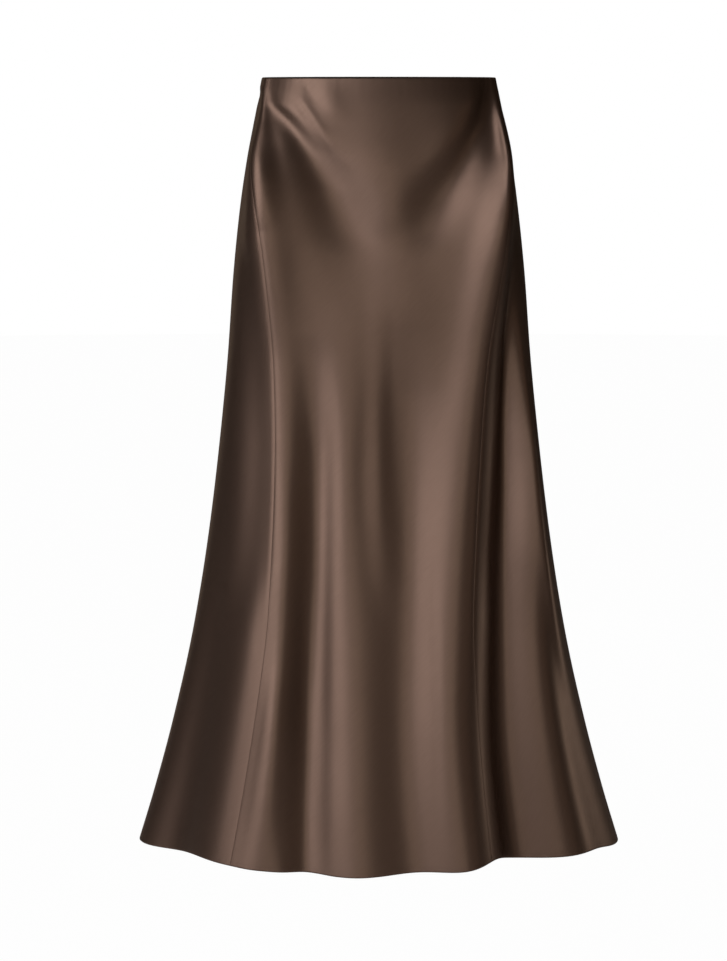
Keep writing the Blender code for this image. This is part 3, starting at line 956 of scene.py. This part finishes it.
def make_allowance(side):
    """The enclosed allowance of a side seam (side -1 left, 1 right), pressed to the back."""
    sizes = bpy.context.scene.skirt_edges
    name = "left" if side < 0 else "right"
    drops = ALLOWANCE_TOP + (LENGTH - ALLOWANCE_FOOT - ALLOWANCE_TOP) * np.linspace(
        0, 1, ALLOWANCE_ROWS)
    share = close_to_edges(ALLOWANCE_COLUMNS, sizes.allowance, ALLOWANCE_CELLS)[None, :]
    drop = np.broadcast_to(drops[:, None], (len(drops), share.shape[1]))
    seam = np.broadcast_to(smooth(SEAMS, name, drops)[:, None], drop.shape)
    step = 0.5                  # degrees round the tube that the cloth's width is measured over
    stepped = surface(side * (seam + step), drop) - surface(side * seam, drop)
    degrees = step * sizes.allowance / np.linalg.norm(stepped, axis=-1)
    around = side * (seam + degrees * share)
    points, outward = surface(around, drop), directions(around, drop)[1]
    from_end = np.minimum(share, 1 - share) * sizes.allowance
    ripple = RIPPLE * np.sin(
        drops * RIPPLE_TURNS + 2 * np.sin(drops * RIPPLE_DRIFT))[:, None] * share
    depth = sizes.turning_wall + ripple - rounded(from_end, TURNING_ROUND)
    if side < 0:
        points, outward, depth = (a[:, ::-1] for a in (points, outward, depth))
    piece = turned_in(name + "_seam_allowance", points, outward, sizes.behind, depth,
                      share * sizes.allowance, -drop)
    return piece


def stitch_line(name, side, drop_at, depth_in):
    """A row of machine stitches round a panel, one small rounded bar to a stitch."""
    sizes = bpy.context.scene.skirt_stitches
    _, points, outward = lay(side, np.array([drop_at]), np.linspace(0, 1, STITCH_PLACES))
    line = (points - outward * depth_in)[0]
    walked = np.concatenate(([0], np.cumsum(np.linalg.norm(np.diff(line, axis=0), axis=1))))
    count = int(walked[-1] / sizes.pitch)
    mesh = bmesh.new()
    for i in range(count):
        middle = (i + 0.5) * walked[-1] / count
        ends = [np.array([np.interp(middle + s * sizes.length / 2, walked, line[:, k])
                          for k in range(3)]) for s in (-1, 1)]
        along = Vector(ends[1] - ends[0])
        turn = along.to_track_quat("X", "Z").to_matrix().to_4x4()
        place = Matrix.Translation(Vector((ends[0] + ends[1]) / 2)) @ turn
        made = bmesh.ops.create_icosphere(mesh, subdivisions=1, radius=0.5, matrix=Matrix())
        bmesh.ops.transform(mesh, verts=made["verts"], matrix=place @ Matrix.Diagonal(
            (along.length, sizes.thread, sizes.thread, 1)))
    for face in mesh.faces:
        face.smooth = True
    data = bpy.data.meshes.new(name)
    mesh.to_mesh(data)
    mesh.free()
    data.materials.append(bpy.data.materials["sewing_thread"])
    piece = add_object(name, data)
    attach(piece, "root")
    return piece


def new_material(name):
    """A material, its node tree and its shader."""
    finish = bpy.data.materials.new(name)
    finish.use_nodes = True
    return finish, finish.node_tree, finish.node_tree.nodes["Principled BSDF"]


def set_inputs(node, **values):
    """Set a node's inputs by name, with _ for a space."""
    for label, value in values.items():
        node.inputs[label.replace("_", " ")].default_value = value


def add_node(tree, kind, **values):
    """A new node with its inputs set."""
    node = tree.nodes.new("ShaderNode" + kind)
    set_inputs(node, **values)
    return node


def join(start, way_out, end, way_in):
    """Link one node's output to another's input."""
    start.id_data.links.new(start.outputs[way_out], end.inputs[way_in])


def weave_group():
    """Fine satin threads on the bias: a height, and a mask of slightly lighter threads."""
    group = bpy.data.node_groups.new("Bias weave", "ShaderNodeTree")
    for label, way, kind in (("Pattern", "INPUT", "Vector"),
                             ("Threads per metre", "INPUT", "Float"),
                             ("Height", "OUTPUT", "Float"), ("Slub", "OUTPUT", "Float")):
        group.interface.new_socket(name=label, in_out=way, socket_type="NodeSocket" + kind)
    entry, leave = group.nodes.new("NodeGroupInput"), group.nodes.new("NodeGroupOutput")
    turned = add_node(group, "Mapping", Rotation=(0, 0, math.radians(45)))
    join(entry, "Pattern", turned, "Vector")
    threads = add_node(group, "TexWave", Distortion=0.6, Detail=1.0, Detail_Scale=1.5)
    threads.wave_type, threads.bands_direction = "BANDS", "X"
    join(turned, "Vector", threads, "Vector")
    join(entry, "Threads per metre", threads, "Scale")
    streaks = add_node(group, "Mapping", Scale=(900, 45, 1))
    join(turned, "Vector", streaks, "Vector")
    slub = add_node(group, "TexNoise", Scale=1.0, Detail=3.0)
    join(streaks, "Vector", slub, "Vector")
    join(threads, "Fac", leave, "Height")
    join(slub, "Fac", leave, "Slub")


def satin_material(name, colour, metallic, roughness, spread, weave_depth, sheen):
    """Satin: a soft sheen off close threads, which vary a little in tone and gloss."""
    finish, tree, shader = new_material(name)
    thin, thick, gloss_change = 0.3, 0.7, 0.02
    pattern = add_node(tree, "UVMap")
    pattern.uv_map = "Pattern"
    weave = add_node(tree, "Group")
    weave.node_tree = bpy.data.node_groups["Bias weave"]
    set_inputs(weave, Threads_per_metre=420.0)
    join(pattern, "UV", weave, "Pattern")
    tone = add_node(tree, "MapRange", From_Min=thin, From_Max=thick,
                    To_Min=1 - spread, To_Max=1 + spread)
    join(weave, "Slub", tone, "Value")
    tint = add_node(tree, "Mix")
    tint.data_type, tint.blend_type = "RGBA", "MULTIPLY"
    set_inputs(tint, Factor=1.0, A=(*colour, 1))
    join(tone, "Result", tint, "B")
    join(tint, "Result", shader, "Base Color")
    gloss = add_node(tree, "MapRange", From_Min=thin, From_Max=thick,
                     To_Min=roughness + gloss_change, To_Max=roughness - gloss_change)
    join(weave, "Slub", gloss, "Value")
    join(gloss, "Result", shader, "Roughness")
    threads = add_node(tree, "Bump", Strength=0.35, Distance=weave_depth)
    join(weave, "Height", threads, "Height")
    join(threads, "Normal", shader, "Normal")
    set_inputs(shader, Metallic=metallic, Sheen_Weight=sheen, Sheen_Roughness=0.4,
               Sheen_Tint=(0.75, 0.58, 0.50, 1))
    finish.diffuse_color = (*colour, 1)


def thread_material(colour):
    """Polyester thread, with its two plies' twist drawn as bands of painted shade and painted
    highlight.
    """
    _, tree, shader = new_material("sewing_thread")
    # Painted shade between the plies and painted highlight on their crests, in diagonal bands
    # along the thread
    painted_groove_shade, lighter = 0.8, 1.25
    place = add_node(tree, "TexCoord")
    twist = add_node(tree, "TexWave", Scale=900.0)
    twist.bands_direction = "DIAGONAL"
    join(place, "Object", twist, "Vector")
    shade = add_node(tree, "Mix")
    shade.data_type = "RGBA"
    set_inputs(shade, A=(*[c * painted_groove_shade for c in colour], 1), B=(*[c * lighter for c in colour], 1))
    join(twist, "Fac", shade, "Factor")
    join(shade, "Result", shader, "Base Color")
    set_inputs(shader, Roughness=0.5)


def add_light(light, target, power):
    """A soft light that faces the target."""
    lamp = bpy.data.lights.new(light.name, "AREA")
    lamp.shape, lamp.size, lamp.size_y, lamp.energy = (
        "RECTANGLE", light.width, light.height, power)
    lamp.color, lamp.spread = light.colour, math.radians(light.spread)
    piece = add_object(light.name, lamp)
    turn, lift = math.radians(light.azimuth), math.radians(light.elevation)
    piece.location = target + light.distance * Vector(
        (math.sin(turn) * math.cos(lift), -math.cos(turn) * math.cos(lift), math.sin(lift)))
    piece.rotation_euler = (piece.location - target).to_track_quat("Z", "Y").to_euler()


def add_floor(drop, radius, colour):
    """A pale round floor, near white to the camera, and not there when seen from below."""
    mesh = bmesh.new()
    bmesh.ops.create_circle(mesh, cap_ends=True, segments=96, radius=radius)
    bmesh.ops.translate(mesh, verts=mesh.verts[:], vec=(0, 0, -drop))
    data = bpy.data.meshes.new("floor")
    mesh.to_mesh(data)
    mesh.free()
    finish, tree, shader = new_material("pale_floor")
    set_inputs(shader, Base_Color=(*colour, 1), Roughness=0.9)
    glow = add_node(tree, "Emission", Strength=1.0)
    rays, side = add_node(tree, "LightPath"), add_node(tree, "NewGeometry")
    seen, below = add_node(tree, "MixShader"), add_node(tree, "MixShader")
    part = add_node(tree, "Math")
    part.operation = "MULTIPLY"
    part.inputs[1].default_value = FLOOR_WHITE
    clear = add_node(tree, "BsdfTransparent")
    join(rays, "Is Camera Ray", part, 0)
    join(part, "Value", seen, "Fac")
    join(shader, "BSDF", seen, 1)
    join(glow, "Emission", seen, 2)
    join(side, "Backfacing", below, "Fac")
    join(seen, "Shader", below, 1)
    join(clear, "BSDF", below, 2)
    join(below, "Shader", tree.nodes["Material Output"], "Surface")
    data.materials.append(finish)
    floor = add_object("floor", data)


def light_world():
    """A white backdrop for the camera, which lights the satin only faintly."""
    world = bpy.data.worlds.new("studio")
    bpy.context.scene.world = world
    world.use_nodes = True
    tree = world.node_tree
    faint = tree.nodes["Background"]
    set_inputs(faint, Color=(*WARM, 1), Strength=WORLD_LIGHT)
    white = add_node(tree, "Background", Color=(1, 1, 1, 1))
    rays, seen = add_node(tree, "LightPath"), add_node(tree, "MixShader")
    join(rays, "Is Camera Ray", seen, "Fac")
    join(faint, "Background", seen, 1)
    join(white, "Background", seen, 2)
    join(seen, "Shader", tree.nodes["World Output"], "Surface")


class SKIRT_OT_stage(bpy.types.Operator):
    """Set the camera, the soft lights, the backdrop and the pale floor"""

    bl_idname = "skirt.stage"
    bl_label = "Stage"

    def execute(self, context):
        stage = context.scene.skirt_stage
        lens = bpy.data.cameras.new("camera")
        lens.sensor_width, lens.lens = 36.0, stage.lens
        lens.clip_end = 60.0
        camera = add_object("camera", lens)
        camera.location = (stage.camera_side, -stage.camera_distance, stage.camera_height)
        camera.rotation_euler = (math.radians(90) - stage.camera_pitch, 0, 0)
        context.scene.camera = camera
        context.scene.view_settings.view_transform = "Standard"
        for light in LIGHTS:
            add_light(light, Vector((0, 0, light.aim)), light.power * stage.light)
        add_floor(stage.floor_drop, stage.floor_radius, context.scene.skirt_colours.floor)
        light_world()
        return {"FINISHED"}


class SKIRT_OT_finishes(bpy.types.Operator):
    """Make the satin, its wrong side and the thread"""

    bl_idname = "skirt.finishes"
    bl_label = "Finishes"

    def execute(self, context):
        colours = context.scene.skirt_colours
        weave_group()
        satin_material("mocha_satin", colours.satin, metallic=0.9, roughness=0.42,
                       spread=0.03, weave_depth=0.00002, sheen=0.0)
        satin_material("satin_wrong_side", colours.satin_inside, metallic=0.25, roughness=0.6,
                       spread=0.05, weave_depth=0.00004, sheen=0.2)
        thread_material(colours.thread)
        return {"FINISHED"}


class SKIRT_OT_panels(bpy.types.Operator):
    """Make the front and the back panel with their casings, hems and allowances"""

    bl_idname = "skirt.panels"
    bl_label = "Panels"

    def execute(self, context):
        for side in ("front", "back"):
            piece = make_panel(side)
            edges = [make_casing(side), make_hem(side)]
            if side == "back":
                edges += [make_allowance(-1), make_allowance(1)]
        return {"FINISHED"}


class SKIRT_OT_stitches(bpy.types.Operator):
    """Stitch the hem, outside and inside"""

    bl_idname = "skirt.stitches"
    bl_label = "Stitches"

    def execute(self, context):
        drop = LENGTH - context.scene.skirt_edges.hem_height + STITCH_BELOW
        for side in ("front", "back"):
            for row, depth_in in STITCH_ROWS.items():
                stitch_line(side + row, side, drop, depth_in)
        return {"FINISHED"}


class SKIRT_PT_pieces(bpy.types.Panel):
    """Lists the skirt's operators and sizes."""

    bl_label = "Slip skirt"
    bl_idname = "SKIRT_PT_pieces"
    bl_space_type = "VIEW_3D"
    bl_region_type = "UI"
    bl_category = "Slip skirt"

    def draw(self, context):
        for operator in OPERATORS:
            self.layout.operator(operator.bl_idname)
        for name, group in GROUPS.items():
            box = self.layout.box()
            box.label(text=group.__doc__)
            for size in group.__annotations__:
                box.prop(getattr(context.scene, name), size)


GROUPS = {
    "skirt_cloth": ClothSizes,
    "skirt_edges": EdgeSizes,
    "skirt_stitches": StitchSizes,
    "skirt_colours": SkirtColours,
    "skirt_stage": StageSizes,
}
OPERATORS = (SKIRT_OT_stage, SKIRT_OT_finishes, SKIRT_OT_panels, SKIRT_OT_stitches)


def register():
    for group in (*GROUPS.values(), *OPERATORS, SKIRT_PT_pieces):
        bpy.utils.register_class(group)
    for name, group in GROUPS.items():
        setattr(bpy.types.Scene, name, bpy.props.PointerProperty(type=group))


def unregister():
    for name in GROUPS:
        delattr(bpy.types.Scene, name)
    for group in (SKIRT_PT_pieces, *OPERATORS[::-1], *list(GROUPS.values())[::-1]):
        bpy.utils.unregister_class(group)


def main():
    register()
    bpy.ops.skirt.stage()
    bpy.ops.skirt.finishes()
    bpy.ops.skirt.panels()
    bpy.ops.skirt.stitches()


if __name__ == "__main__":
    main()
